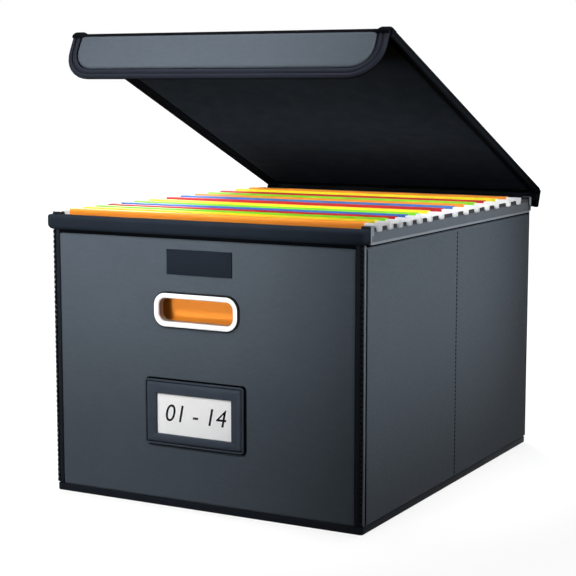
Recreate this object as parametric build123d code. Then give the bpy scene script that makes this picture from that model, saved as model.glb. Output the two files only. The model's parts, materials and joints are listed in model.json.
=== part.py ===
"""Portable file box with a hinged lid and fourteen hanging folders.

Millimetres. The origin is the centre of the underside, on the surface that the box stands on.
+X is to the right, +Y is to the rear, where the lid is hinged, and +Z is up.
The lid is built closed and then turned to the opening at which the box is stored.
"""
from build123d import *
import os

# ---------------------------------------------------------------- walls and base
BOX_WIDTH = 316.0           # across the outer faces of the side walls
BOX_DEPTH = 393.0           # across the outer faces of the front and rear walls
WALL = 4.0                  # board with its skin and its lining
WALL_TOP = 250.0            # top edge of the boards, covered by the rim
BASE_HEIGHT = 7.0           # bottom panel, from the floor to the foot of the walls
BASE_INSET = 1.0            # how far the bottom panel stands back from the walls
BASE_CORNER = 3.0           # corner radius of the bottom panel
INSERT_THICKNESS = 3.0      # stiff board laid loose on the bottom panel
INSERT_PLAY = 1.0           # play of that board inside the walls
PIPING_RADIUS = 2.4         # bead sewn along each upright corner
FOLD_GAP = 0.8              # score line down the middle of each side wall
SNUG = 0.2                  # play between pieces that are pushed or sewn together
RUNNING = 0.3               # play between pieces that move past each other

# ---------------------------------------------------------------- rim bands and rails
RIM_DROP = 7.0              # bands and rails below the boards' top edge
RIM_RISE = 6.3              # bands above the boards' top edge
FRONT_PROUD = 3.5           # front band past the front wall
REAR_PROUD = 2.2            # rear band and hinge strip past the rear wall
BAND_INNER = 2.0            # leg of a band inside the box
BAND_SIDE = 3.0             # front band's ends past the side walls
BAND_CORNER = 6.0           # rounding of the front band's ends, in plan
BAND_EDGE = 1.2             # rounding along the bands' long edges
RAIL_PROUD = 2.6            # rail's outer face past the side wall
RAIL_RECESS = 1.0           # depth of the panel sunk in the rail's outer face
RAIL_BORDER = 2.0           # border left round that panel
RAIL_LEG = 2.0              # leg of a rail inside the box
RAIL_LEG_DROP = 5.0         # that leg below the boards' top edge
RAIL_WEB = 2.4              # thickness over the wall's top edge
FIN = 2.4                   # thickness of the fin that the folders hang on
FIN_HEIGHT = 3.9            # that fin above the web
STOP_LENGTH = 6.0           # end stop that keeps the hooks on the fin
STOP_RISE = 2.0             # end stop above the fin
RAIL_REAR_CORNER = 8.0      # rounding of the rail's lower rear corner
RAIL_FRONT_CORNER = 2.0     # rounding of the rail's lower front corner

# ---------------------------------------------------------------- handles, label holder, patch
HOLE_WIDTH = 75.5           # finger hole, overall
HOLE_HEIGHT = 20.5
HOLE_FLAT = 3.4             # each end's straight part, half its height
HOLE_DROP = 72.3            # finger holes' centres below the boards' top edge
HOLE_X = -3.3               # front hole's centre, left of the middle
FLANGE = 5.6                # width of the white flange round the hole
FLANGE_PROUD = 3.0          # flange in front of the wall
FLANGE_EDGE = 1.4           # rounding of the flange's edges
COLLAR = 2.6                # wall of the collar that passes through the board
BACKING = 1.8               # thickness of the ring on the inside
FRAME_X = -4.9              # label holder's centre, left of the middle
FRAME_DEPTH = 5.0           # label holder in front of the wall
FRAME_BACK = 0.8            # its back plate
FRAME_CORNER = 4.0
FRAME_BEVEL = 1.6
WINDOW_WIDTH = 76.8         # opening of the label holder
WINDOW_HEIGHT = 36.4
WINDOW_LOW = 66.8           # its lower edge above the floor
WINDOW_BEVEL = 1.0
FRAME_SIDE = 13.1           # label holder beside its window
FRAME_BELOW = 10.8          # label holder under its window
FRAME_ABOVE = 13.3          # label holder over its window
CARD_SIDE = 4.1             # card hidden on either side of the window
CARD_BELOW = 3.5            # card hidden under the window
CARD_ABOVE = 2.3            # card hidden over the window
CARD = 0.8                  # thickness of the card
PATCH_WIDTH = 66.0          # plain patch sewn on under the front band
PATCH_HEIGHT = 22.0
PATCH_DROP = 19.0           # its upper edge below the boards' top edge
PATCH = 1.2

# ---------------------------------------------------------------- lid
LID_OVERHANG = 0.4          # closed lid past the rails' outer faces
LID_REACH = 3.5             # closed lid past the front band
COVER = 1.2                 # leatherette over the lid's board
COVER_EDGE = 0.8            # rounding of its side and rear edges
LID_BOARD = 2.8
LINING = 0.8                # felt under the lid's board
LIP = 2.4                   # thickness of the lid's side lips
LIP_DEPTH = 8.1             # lips' lower edge under the lid's top
LIP_EDGE = 1.0              # rounding of that edge
SKIRT = 2.2                 # thickness of the flap at the lid's rear
SKIRT_SQUARE_DROP = 1.0     # as wide as the lid down to here, below the boards' top edge
SKIRT_SHOULDER = 12.0       # lower edge of that wide part, in from the lid's sides
SKIRT_NARROW_DROP = 9.0     # as wide as its hinge from here down
HINGE_DROP = 28.6           # sewn hinge line below the boards' top edge
HINGE_INSET = 15.0          # ends of the hinge, in from the side walls' outer faces
STRIP_ABOVE = 4.6           # strip that sews the hinge to the rear wall, over the hinge line
STRIP_BELOW = 18.4          # the same under the hinge line
STRIP_CORNER = 4.6          # rounding of its lower corners
REST_OPENING = 22.67        # opening angle at which the box is stored
FLAP = 2.6                  # thickness of the front flap
FLAP_NOSE_RADIUS = 1.8      # roll along the top of the front flap
FLAP_GAP = 0.4              # from that roll to the lid's front edge
FLAP_LENGTH = 46.0          # from the flap's axis to its free edge
FLAP_CORNER = 29.8
FLAP_INSET = 1.5            # flap's ends, in from the lid's sides
FLAP_TILT = 2.4             # how far the flap stands out when nothing presses it
BINDING_WIDTH = 10.0        # padded band round the flap
BINDING = 1.2

# ---------------------------------------------------------------- hanging folders
FOLDER_SIDE_PLAY = 2.55     # folder's edge to the rail's inner leg
FOLDER_FLOOR_PLAY = 15.7    # folder's lower fold to the board on the bottom
SHEET = 0.7                 # card of the folders
HEM = 11.0                  # depth of the folded edge that holds a bar
MOUTH = 1.2                 # gap between the two hems of a folder that hangs closed
BAR = 1.0                   # thickness of a bar
BAR_HEIGHT = 9.3
BAR_PLAY = 0.1              # play of a bar inside its hem
HOOK_CROWN = 3.2            # steel left over the notch
NOTCH_PLAY = 2.0            # notch beside the fin, on the inner side
NOTCH_ROUND = 1.6           # rounding of the notch's upper inner corner
TOOTH_WIDTH = 3.4           # hook's tooth outside the fin
TOOTH_REACH = 3.3           # that tooth below the fin's top
TOOTH_ROUND = 1.5
ARM_PLAY = 0.6              # bar's arm above the rail's web
ARM_CLEAR = 1.2             # where the arm starts, past the sheet's edge
FIRST_FOLDER = 16.5         # front folder's face behind the front wall's outer face
LAST_FOLDER = 49.5          # rear folder's face in front of the rear wall's outer face
# spacing of the folders from front to rear, as parts of the run between the first and the last
FOLDER_STEPS = (21.5, 19.5, 19.5, 21.5, 22.0, 26.0, 32.0, 26.0, 27.0, 26.0, 25.0, 32.0, 29.0)

# ---------------------------------------------------------------- worked out from the above
half_width = BOX_WIDTH / 2
half_depth = BOX_DEPTH / 2
inner_x = half_width - WALL
inner_y = half_depth - WALL
panel_end_x = half_width - 2 * PIPING_RADIUS - SNUG / 2
panel_end_y = half_depth - 2 * PIPING_RADIUS - SNUG / 2
slot_top = WALL_TOP + SNUG                      # inside of the rim over the boards
rim_low = WALL_TOP - RIM_DROP
rim_top = WALL_TOP + RIM_RISE
band_inner_y = inner_y - SNUG / 2 - BAND_INNER  # inside face of the bands
rail_end = band_inner_y - SNUG
rail_outer = half_width + RAIL_PROUD
rail_inner = inner_x - SNUG - RAIL_LEG
rail_leg_low = WALL_TOP - RAIL_LEG_DROP
web_top = slot_top + RAIL_WEB
rail_top = web_top + FIN_HEIGHT
fin_outer = rail_outer - RAIL_RECESS
fin_inner = fin_outer - FIN
front_face = -half_depth
hole_z = WALL_TOP - HOLE_DROP
window_top = WINDOW_LOW + WINDOW_HEIGHT
patch_top = WALL_TOP - PATCH_DROP

insert_top = BASE_HEIGHT + INSERT_THICKNESS
hem_thickness = 2 * SHEET + BAR + 2 * BAR_PLAY
folder_thickness = 2 * hem_thickness + MOUTH
folder_half_width = rail_inner - FOLDER_SIDE_PLAY
notch_inner = fin_inner - NOTCH_PLAY
notch_outer = fin_outer + RUNNING
bar_half_length = notch_outer + TOOTH_WIDTH
bar_top = rail_top + RUNNING + HOOK_CROWN
folder_top = bar_top + SHEET
folder_low = insert_top + FOLDER_FLOOR_PLAY

lid_half_width = rail_outer + LID_OVERHANG
flap_half_width = lid_half_width - FLAP_INSET
lip_low = bar_top + RUNNING
lid_top = lip_low + LIP_DEPTH
skirt_inner = half_depth + REAR_PROUD + RUNNING
skirt_outer = skirt_inner + SKIRT
hinge_y = (skirt_inner + skirt_outer) / 2
hinge_z = WALL_TOP - HINGE_DROP
hinge_half_length = half_width - HINGE_INSET
cover_low = lid_top - COVER
board_low = cover_low - LID_BOARD
lining_low = board_low - LINING
flap_axis_y = front_face - FRONT_PROUD - LID_REACH + FLAP_NOSE_RADIUS
flap_axis_z = lid_top - FLAP_NOSE_RADIUS
lid_front = flap_axis_y + FLAP_NOSE_RADIUS + FLAP_GAP
lid_board_half = lid_half_width - LIP - SNUG
lid_board_rear = skirt_inner - SNUG


def slab(x, y, z):
    """Block between two x, two y and two z values."""
    middle = Pos((x[0] + x[1]) / 2, (y[0] + y[1]) / 2, (z[0] + z[1]) / 2)
    return middle * Box(x[1] - x[0], y[1] - y[0], z[1] - z[0])


def both(value):
    """The pair from minus a value to plus that value."""
    return (-value, value)


def mirrored_x(shape):
    return mirror(shape, about=Plane.YZ)


def turned_to_rear(shape):
    """A piece of the front wall, turned half round to the rear wall."""
    return Rot(0, 0, 180) * shape


# ---------------------------------------------------------------- walls and base
def bottom_panel():
    plate = slab(both(half_width - BASE_INSET), both(half_depth - BASE_INSET), (0, BASE_HEIGHT))
    return fillet(plate.edges().filter_by(Axis.Z), BASE_CORNER)


def base_insert():
    return slab(both(inner_x - INSERT_PLAY), both(inner_y - INSERT_PLAY), (BASE_HEIGHT, insert_top))


def oval_bar(width, height, y):
    """Bar with well rounded corners in outline, along Y, at the height of the finger holes."""
    outline = Plane.XZ * RectangleRounded(width, height, height / 2 - HOLE_FLAT)
    return Pos(HOLE_X, y[1], hole_z) * extrude(outline, amount=y[1] - y[0])


def front_panel():
    panel = slab(both(panel_end_x), (front_face, -inner_y), (BASE_HEIGHT, WALL_TOP))
    past = (front_face - WALL, -inner_y + WALL)
    hole_width = HOLE_WIDTH + 2 * (COLLAR + SNUG)
    hole_height = HOLE_HEIGHT + 2 * (COLLAR + SNUG)
    return panel - oval_bar(hole_width, hole_height, past)


def side_half():
    """Front half of the right side wall, up to the fold."""
    y = (-panel_end_y, -FOLD_GAP / 2)
    return slab((inner_x, half_width), y, (BASE_HEIGHT, WALL_TOP))


def corner_piping(sign_y):
    """The two beads at the front or at the rear corners."""
    height = rim_low - SNUG - BASE_HEIGHT
    x = half_width - PIPING_RADIUS
    y = sign_y * (half_depth - PIPING_RADIUS)
    bead = Pos(x, y, BASE_HEIGHT + height / 2) * Cylinder(PIPING_RADIUS, height)
    return Compound(children=[bead, mirrored_x(bead)])


# ---------------------------------------------------------------- rim
def wall_slot(length, face, play):
    """Room for the top edge of a front wall inside its band."""
    y = (face - play, -inner_y + play)
    return slab(both(length), y, (rim_low - 1, slot_top))


def front_rim_band():
    end = half_width + BAND_SIDE
    outer = front_face - FRONT_PROUD
    band = slab(both(end), (outer, -band_inner_y), (rim_low, rim_top))
    front_corners = band.edges().filter_by(Axis.Z).group_by(Axis.Y)[0]
    band = fillet(front_corners, BAND_CORNER)
    outside = band.faces().filter_by(Plane.XZ).sort_by(Axis.Y)[0]
    long_edges = outside.edges().filter_by(Axis.X)
    band = fillet(long_edges, BAND_EDGE)
    side_slot = slab((inner_x - SNUG, half_width + SNUG), (-panel_end_y - SNUG, 0),
                     (rim_low - 1, slot_top))
    band = band - wall_slot(panel_end_x + SNUG, front_face, SNUG / 2)
    return band - side_slot - mirrored_x(side_slot)


def rear_rim_band():
    outer = half_depth + REAR_PROUD
    band = slab(both(half_width - SNUG), (band_inner_y, outer), (rim_low, rim_top))
    outside = band.faces().filter_by(Plane.XZ).sort_by(Axis.Y)[-1]
    band = fillet(outside.edges().filter_by(Axis.X), BAND_EDGE)
    slot = turned_to_rear(wall_slot(panel_end_x + SNUG, front_face, SNUG / 2))
    side_slot = slab((inner_x - SNUG, half_width), (0, panel_end_y + SNUG), (rim_low - 1, slot_top))
    return band - slot - side_slot - mirrored_x(side_slot)


def right_rail():
    y = both(rail_end)
    skirt = slab((half_width + SNUG, rail_outer), y, (rim_low, rail_top))
    low_corners = skirt.edges().filter_by(Axis.X).group_by(Axis.Z)[0].sort_by(Axis.Y)
    skirt = fillet(low_corners[-1], RAIL_REAR_CORNER)
    low_corners = skirt.edges().filter_by(Axis.X).group_by(Axis.Z)[0].sort_by(Axis.Y)
    skirt = fillet(low_corners[0], RAIL_FRONT_CORNER)
    panel_y = both(rail_end - RAIL_BORDER)
    sunk = slab((fin_outer, rail_outer + 1), panel_y, (rim_low + RAIL_BORDER, rail_top + 1))
    rear_corner = sunk.edges().filter_by(Axis.X).group_by(Axis.Z)[0].sort_by(Axis.Y)[-1]
    sunk = fillet(rear_corner, RAIL_REAR_CORNER - RAIL_BORDER)
    web = slab((rail_inner, rail_outer - RAIL_RECESS), y, (slot_top, web_top))
    leg = slab((rail_inner, rail_inner + RAIL_LEG), y, (rail_leg_low, web_top))
    fin = slab((fin_inner, fin_outer), y, (web_top, rail_top))
    rail = skirt - sunk + web + leg + fin
    stop_z = (slot_top, rail_top + STOP_RISE)
    for side in (-1, 1):
        ends = sorted((side * rail_end, side * (rail_end - STOP_LENGTH)))
        stop = slab((rail_inner, rail_outer), ends, stop_z)
        stop = fillet(stop.edges().filter_by(Axis.Y).group_by(Axis.Z)[-1], STOP_RISE / 2)
        rail = rail + stop
    return rail


# ---------------------------------------------------------------- handles, label holder, patch
def front_handle_ring():
    """White flange on the outside, with the collar that lines the finger hole."""
    flange_width = HOLE_WIDTH + 2 * FLANGE
    flange_height = HOLE_HEIGHT + 2 * FLANGE
    flange = oval_bar(flange_width, flange_height, (front_face - FLANGE_PROUD, front_face))
    collar_end = -inner_y + BACKING - SNUG
    collar = oval_bar(HOLE_WIDTH + 2 * COLLAR, HOLE_HEIGHT + 2 * COLLAR, (front_face, collar_end))
    hole = oval_bar(HOLE_WIDTH, HOLE_HEIGHT, (front_face - WALL, 0))
    ring = flange + collar - hole
    outside = ring.faces().filter_by(Plane.XZ).sort_by(Axis.Y)[0]
    return fillet(outside.edges(), FLANGE_EDGE)


def front_handle_backing():
    """Ring pushed on the collar inside the box."""
    y = (-inner_y, -inner_y + BACKING)
    plate = oval_bar(HOLE_WIDTH + 2 * FLANGE, HOLE_HEIGHT + 2 * FLANGE, y)
    play = 2 * (COLLAR + SNUG)
    return plate - oval_bar(HOLE_WIDTH + play, HOLE_HEIGHT + play, (y[0] - 1, y[1] + 1))


def label_frame():
    front = front_face - FRAME_DEPTH
    top = window_top + FRAME_ABOVE
    window_x = (FRAME_X - WINDOW_WIDTH / 2, FRAME_X + WINDOW_WIDTH / 2)
    frame_x = (window_x[0] - FRAME_SIDE, window_x[1] + FRAME_SIDE)
    frame = slab(frame_x, (front, front_face), (WINDOW_LOW - FRAME_BELOW, top))
    frame = fillet(frame.edges().filter_by(Axis.Y), FRAME_CORNER)
    outside = frame.faces().filter_by(Plane.XZ).sort_by(Axis.Y)[0]
    frame = chamfer(outside.edges(), FRAME_BEVEL)
    slot_x = (window_x[0] - CARD_SIDE - RUNNING, window_x[1] + CARD_SIDE + RUNNING)
    slot_y = (front_face - FRAME_BACK - CARD - 2 * RUNNING, front_face - FRAME_BACK)
    frame = frame - slab(slot_x, slot_y, (WINDOW_LOW - CARD_BELOW - RUNNING, top + 1))
    window = slab(window_x, (front - 1, slot_y[0] + RUNNING), (WINDOW_LOW, window_top))
    frame = frame - window
    outside = frame.faces().filter_by(Plane.XZ).sort_by(Axis.Y)[0]
    rim = outside.inner_wires()[0].edges()
    return chamfer(rim, WINDOW_BEVEL)


def label_card():
    half = WINDOW_WIDTH / 2 + CARD_SIDE
    rear = front_face - FRAME_BACK - RUNNING
    z = (WINDOW_LOW - CARD_BELOW, window_top + CARD_ABOVE)
    return slab((FRAME_X - half, FRAME_X + half), (rear - CARD, rear), z)


def front_patch():
    y = (front_face - PATCH, front_face)
    patch = slab(both(PATCH_WIDTH / 2), y, (patch_top - PATCH_HEIGHT, patch_top))
    return fillet(patch.edges().filter_by(Axis.Y), PATCH)


# ---------------------------------------------------------------- lid, built closed
def opened(shape):
    """A piece of the closed lid, turned to the opening at which the box is stored."""
    return Pos(0, hinge_y, hinge_z) * Rot(-REST_OPENING, 0, 0) * Pos(0, -hinge_y, -hinge_z) * shape


def hinge_strip():
    x = both(hinge_half_length)
    z = (hinge_z - STRIP_BELOW, hinge_z + STRIP_ABOVE)
    strip = slab(x, (half_depth, half_depth + REAR_PROUD), z)
    return fillet(strip.edges().filter_by(Axis.Y).group_by(Axis.Z)[0], STRIP_CORNER)


def lid_cover():
    y = (lid_front, skirt_outer)
    cover = slab(both(lid_half_width), y, (cover_low, lid_top))
    top = cover.faces().sort_by(Axis.Z)[-1]
    return fillet(top.edges().filter_by(Axis.Y) + top.edges().sort_by(Axis.Y)[-1:], COVER_EDGE)


def lid_board():
    y = (lid_front + SNUG, lid_board_rear)
    return slab(both(lid_board_half), y, (board_low, cover_low))


def lid_lining():
    y = (lid_front + SNUG, lid_board_rear)
    return slab(both(lid_board_half), y, (lining_low, board_low))


def lid_right_lip():
    x = (lid_half_width - LIP, lid_half_width)
    lip = slab(x, (lid_front, lid_board_rear), (lip_low, cover_low))
    return fillet(lip.edges().filter_by(Axis.Y).group_by(Axis.Z)[0], LIP_EDGE)


def lid_rear_skirt():
    """Flap at the lid's rear, with the rolled edge that the lid turns on."""
    square_low = WALL_TOP - SKIRT_SQUARE_DROP
    narrow_top = WALL_TOP - SKIRT_NARROW_DROP
    right = [(lid_half_width, cover_low), (lid_half_width, square_low),
             (lid_half_width - SKIRT_SHOULDER, square_low),
             (hinge_half_length, narrow_top), (hinge_half_length, hinge_z)]
    left = [(-x, z) for x, z in reversed(right)]
    outline = Plane.XZ * make_face(Polyline(*right, *left, close=True))
    plate = Pos(0, skirt_outer, 0) * extrude(outline, amount=SKIRT)
    roll = Cylinder(SKIRT / 2, 2 * hinge_half_length, rotation=(0, 90, 0))
    return plate + Pos(0, hinge_y, hinge_z) * roll


# ---------------------------------------------------------------- front flap, built on the closed lid
def tilted(shape):
    """A piece of the front flap, standing out by its own stiffness, on the opened lid."""
    to_axis = Pos(0, flap_axis_y, flap_axis_z)
    from_axis = Pos(0, -flap_axis_y, -flap_axis_z)
    return opened(to_axis * Rot(-FLAP_TILT, 0, 0) * from_axis * shape)


def flap_outline(margin, top, y):
    """The flap's outline, drawn in by a margin, as a plate between two y values."""
    x = both(flap_half_width - margin)
    plate = slab(x, y, (flap_axis_z - FLAP_LENGTH + margin, top))
    return fillet(plate.edges().filter_by(Axis.Y).group_by(Axis.Z)[0], FLAP_CORNER - margin)


def front_flap():
    y = (flap_axis_y - FLAP / 2, flap_axis_y + FLAP / 2)
    panel = flap_outline(0, flap_axis_z, y)
    nose = Cylinder(FLAP_NOSE_RADIUS, 2 * flap_half_width, rotation=(0, 90, 0))
    return panel + Pos(0, flap_axis_y, flap_axis_z) * nose


def flap_binding():
    outer = flap_axis_y - FLAP / 2
    top = flap_axis_z - FLAP_NOSE_RADIUS - SNUG
    band = flap_outline(0, top, (outer - BINDING, outer))
    return band - flap_outline(BINDING_WIDTH, top + 1, (outer - BINDING - 1, outer + 1))


# ---------------------------------------------------------------- hanging folders
def folder_places():
    """Front faces of the folders, from front to rear."""
    run = BOX_DEPTH - FIRST_FOLDER - LAST_FOLDER
    places = [front_face + FIRST_FOLDER]
    for step in FOLDER_STEPS:
        places.append(places[-1] + step * run / sum(FOLDER_STEPS))
    return places


def folder_leaf(y):
    """Front leaf of a folder with its folded edge, its face at y."""
    x = both(folder_half_width)
    leaf = slab(x, (y, y + SHEET), (folder_low, folder_top))
    fold = slab(x, (y, y + hem_thickness), (folder_top - SHEET, folder_top))
    turned_in = slab(x, (y + hem_thickness - SHEET, y + hem_thickness),
                     (folder_top - HEM, folder_top))
    return leaf + fold + turned_in


def folder_sheet(y):
    middle = y + folder_thickness / 2
    leaf = folder_leaf(y)
    bottom = slab(both(folder_half_width), (y, y + folder_thickness), (folder_low, folder_low + SHEET))
    return leaf + mirror(leaf, about=Plane.XZ.offset(-middle)) + bottom


def hanger_bar(y):
    """Flat bar with a notch over each rail's fin and a tooth outside it."""
    z = (bar_top - BAR_HEIGHT, bar_top)
    bar = slab(both(bar_half_length), (y, y + BAR), z)
    arm_x = (folder_half_width + ARM_CLEAR, bar_half_length + 1)
    below_arm = slab(arm_x, (y - 1, y + BAR + 1), (z[0] - 1, web_top + ARM_PLAY))
    notch_x = (notch_inner, notch_outer)
    notch = slab(notch_x, (y - 1, y + BAR + 1), (z[0] - 1, rail_top + RUNNING))
    inner_corner = notch.edges().filter_by(Axis.Y).group_by(Axis.Z)[-1].sort_by(Axis.X)[0]
    notch = fillet(inner_corner, NOTCH_ROUND)
    below_tooth = slab((notch_outer, bar_half_length + 1), (y - 1, y + BAR + 1),
                       (z[0] - 1, rail_top - TOOTH_REACH))
    for cut in (below_arm, notch, below_tooth):
        bar = bar - cut - mirrored_x(cut)
    across = bar.edges().filter_by(Axis.Y)
    limit = notch_outer - RUNNING
    teeth = across.filter_by(lambda edge: abs(edge.center().X) > limit)
    return fillet(teeth.filter_by(lambda edge: edge.center().Z < rail_top), TOOTH_ROUND)


def folder_hangers(y):
    """The front and the rear bar of one folder."""
    first = y + SHEET + BAR_PLAY
    second = y + folder_thickness - SHEET - BAR_PLAY - BAR
    return Compound(children=[hanger_bar(first), hanger_bar(second)])


# ---------------------------------------------------------------- all pieces
def all_pieces():
    """Every node's name and its shape."""
    side_front = side_half()
    side_rear = mirror(side_front, about=Plane.XZ)
    rail = right_rail()
    lip = lid_right_lip()
    pieces = {
        "bottom_panel": bottom_panel(),
        "base_insert": base_insert(),
        "front_panel": front_panel(),
        "rear_panel": turned_to_rear(front_panel()),
        "right_side_front": side_front,
        "right_side_rear": side_rear,
        "left_side_front": mirrored_x(side_front),
        "left_side_rear": mirrored_x(side_rear),
        "front_corner_piping": corner_piping(-1),
        "rear_corner_piping": corner_piping(1),
        "front_rim_band": front_rim_band(),
        "rear_rim_band": rear_rim_band(),
        "right_rail": rail,
        "left_rail": mirrored_x(rail),
        "front_handle_ring": front_handle_ring(),
        "front_handle_backing": front_handle_backing(),
        "rear_handle_ring": turned_to_rear(front_handle_ring()),
        "rear_handle_backing": turned_to_rear(front_handle_backing()),
        "label_frame": label_frame(),
        "label_card": label_card(),
        "front_patch": front_patch(),
        "hinge_strip": hinge_strip(),
        "lid_cover": opened(lid_cover()),
        "lid_board": opened(lid_board()),
        "lid_lining": opened(lid_lining()),
        "lid_right_lip": opened(lip),
        "lid_left_lip": opened(mirrored_x(lip)),
        "lid_rear_skirt": opened(lid_rear_skirt()),
        "front_flap": tilted(front_flap()),
        "flap_binding": tilted(flap_binding()),
    }
    for number, place in enumerate(folder_places(), start=1):
        pieces[f"folder_{number:02d}_sheet"] = folder_sheet(place)
        pieces[f"folder_{number:02d}_hangers"] = folder_hangers(place)
    return pieces


os.makedirs("parts", exist_ok=True)
for name, shape in all_pieces().items():
    export_step(shape, f"parts/{name}.step")
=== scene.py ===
"""Looks of the portable file box, built round its packed construction.

Metres, in the frame of the construction: +X right, +Y to the rear, +Z up, origin under the middle.
Pieces of the lid and of its front flap are modelled on the closed lid and then turned with it.
"""

import json
import math

import bmesh
import bpy
from mathutils import Matrix, Vector


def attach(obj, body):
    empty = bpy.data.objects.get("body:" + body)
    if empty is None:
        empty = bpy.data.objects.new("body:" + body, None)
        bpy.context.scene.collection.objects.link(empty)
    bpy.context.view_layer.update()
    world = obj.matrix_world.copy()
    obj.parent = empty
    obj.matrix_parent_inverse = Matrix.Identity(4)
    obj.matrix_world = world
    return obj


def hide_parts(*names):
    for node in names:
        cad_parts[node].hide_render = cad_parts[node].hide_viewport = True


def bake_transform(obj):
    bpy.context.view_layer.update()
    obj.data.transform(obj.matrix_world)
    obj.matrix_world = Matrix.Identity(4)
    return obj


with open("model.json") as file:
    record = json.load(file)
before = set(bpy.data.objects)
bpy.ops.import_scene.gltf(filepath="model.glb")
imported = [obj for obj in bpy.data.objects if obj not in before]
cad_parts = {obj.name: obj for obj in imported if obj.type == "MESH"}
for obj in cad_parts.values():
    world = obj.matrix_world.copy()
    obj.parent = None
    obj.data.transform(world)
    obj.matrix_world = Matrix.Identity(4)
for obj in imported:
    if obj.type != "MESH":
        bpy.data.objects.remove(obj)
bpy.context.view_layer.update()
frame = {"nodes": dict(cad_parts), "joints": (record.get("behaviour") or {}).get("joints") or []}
mm = 0.001
joints = {joint["name"]: joint for joint in frame["joints"]}


# ---------------------------------------------------------------- places in the frame
def turned(joint, degrees):
    """The turn about a joint's axis, at rest, by that angle."""
    centre = Matrix.Translation(Vector(joint["pos_m"]))
    turn = Matrix.Rotation(math.radians(degrees), 4, Vector(joint["axis"]))
    return centre @ turn @ centre.inverted()


lid_joint = joints["lid_hinge"]
flap_joint = joints["flap_hinge"]
lid_opened = turned(lid_joint, -lid_joint["range_deg"][0])
flap_opened = turned(flap_joint, -flap_joint["range_deg"][0]) @ lid_opened


def box_of(node, place=Matrix()):
    """Lowest and highest corner of a CAD node before it was put in its place."""
    back = place.inverted()
    points = [back @ vertex.co for vertex in frame["nodes"][node].data.vertices]
    low = Vector([min(point[i] for point in points) for i in range(3)])
    high = Vector([max(point[i] for point in points) for i in range(3)])
    return low, high


def axes(across, up, out, origin=(0, 0, 0)):
    """Places a piece drawn with x across, y up and z out of its surface."""
    columns = Matrix((across, up, out)).transposed()
    return Matrix.Translation(Vector(origin)) @ columns.to_4x4()


# Across, up and outward directions of each side, as it is looked at.
FRONT = ((1, 0, 0), (0, 0, 1), (0, -1, 0))
REAR = ((-1, 0, 0), (0, 0, 1), (0, 1, 0))
RIGHT = ((0, 1, 0), (0, 0, 1), (1, 0, 0))
LEFT = ((0, -1, 0), (0, 0, 1), (-1, 0, 0))
UNDER = ((1, 0, 0), (0, -1, 0), (0, 0, -1))


# ---------------------------------------------------------------- shader writing
class Signal:
    """One output of a shader node. Arithmetic on it adds Math nodes."""

    def __init__(self, nodes, output):
        self.nodes = nodes
        self.output = output

    def math(self, operation, first, second):
        return self.nodes.node("ShaderNodeMath", {"operation": operation}, {0: first, 1: second})

    def __add__(self, other):
        return self.math("ADD", self, other)

    def __radd__(self, other):
        return self.math("ADD", other, self)

    def __sub__(self, other):
        return self.math("SUBTRACT", self, other)

    def __rsub__(self, other):
        return self.math("SUBTRACT", other, self)

    def __mul__(self, other):
        return self.math("MULTIPLY", self, other)

    def __rmul__(self, other):
        return self.math("MULTIPLY", other, self)

    def between(self, low, high):
        """0 below the low value, 1 above the high one, smooth between them."""
        settings = {"interpolation_type": "SMOOTHSTEP"}
        inputs = {"Value": self, "From Min": low, "From Max": high}
        return self.nodes.node("ShaderNodeMapRange", settings, inputs)


class Nodes:
    """Writes the nodes of a material or a world, from none."""

    def __init__(self, owner):
        self.owner = owner
        self.owner.use_nodes = True
        self.tree = owner.node_tree
        self.tree.nodes.clear()

    def node(self, kind, settings=None, inputs=None, output=0):
        """Adds a node: its settings, then the values or links of its sockets."""
        made = self.tree.nodes.new(kind)
        for name, value in (settings or {}).items():
            setattr(made, name, value)
        for name, value in (inputs or {}).items():
            if isinstance(value, Signal):
                self.tree.links.new(value.output, made.inputs[name])
            else:
                made.inputs[name].default_value = value
        return Signal(self, made.outputs[output]) if len(made.outputs) else None

    def place(self):
        """Where on the piece, in metres of the frame."""
        return self.node("ShaderNodeTexCoord", output="Object")

    def moved(self, vector, shift):
        """The vector with the shift added."""
        return self.node("ShaderNodeVectorMath", {"operation": "ADD"}, {0: vector, 1: shift})

    def stretched(self, vector, scale):
        """The vector multiplied along each axis, where less than 1 draws a pattern out."""
        return self.node("ShaderNodeVectorMath", {"operation": "MULTIPLY"}, {0: vector, 1: scale})

    def noise(self, vector, size, detail, output=0):
        """Noise whose lumps are about that size."""
        inputs = {"Vector": vector, "Scale": 1 / size, "Detail": detail}
        return self.node("ShaderNodeTexNoise", {}, inputs, output)

    def mix(self, factor, first, second):
        """The first colour at factor 0, the second at factor 1."""
        return self.node("ShaderNodeMix", {"data_type": "RGBA"}, {0: factor, 6: first, 7: second}, 2)

    def bump(self, height, distance):
        """Relief on the surface, that deep from height 0 to height 1."""
        return self.node("ShaderNodeBump", {}, {"Height": height, "Distance": distance, "Strength": 1.0})


class Finish(Nodes):
    """A new material and its nodes."""

    def __init__(self, name):
        super().__init__(bpy.data.materials.new(name))

    def surface(self, **inputs):
        """Ends the material in one Principled shader with these sockets, spaces written as _."""
        named = {name.replace("_", " "): value for name, value in inputs.items()}
        shader = self.node("ShaderNodeBsdfPrincipled", {}, named)
        self.node("ShaderNodeOutputMaterial", {}, {"Surface": shader})
        return self.owner


def srgb(red, green, blue):
    """A colour given as 0 to 255 on a screen, as the shaders take it."""
    def linear(value):
        share = value / 255
        return share / 12.92 if share <= 0.04045 else ((share + 0.055) / 1.055) ** 2.4
    return (linear(red), linear(green), linear(blue), 1.0)


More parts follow.
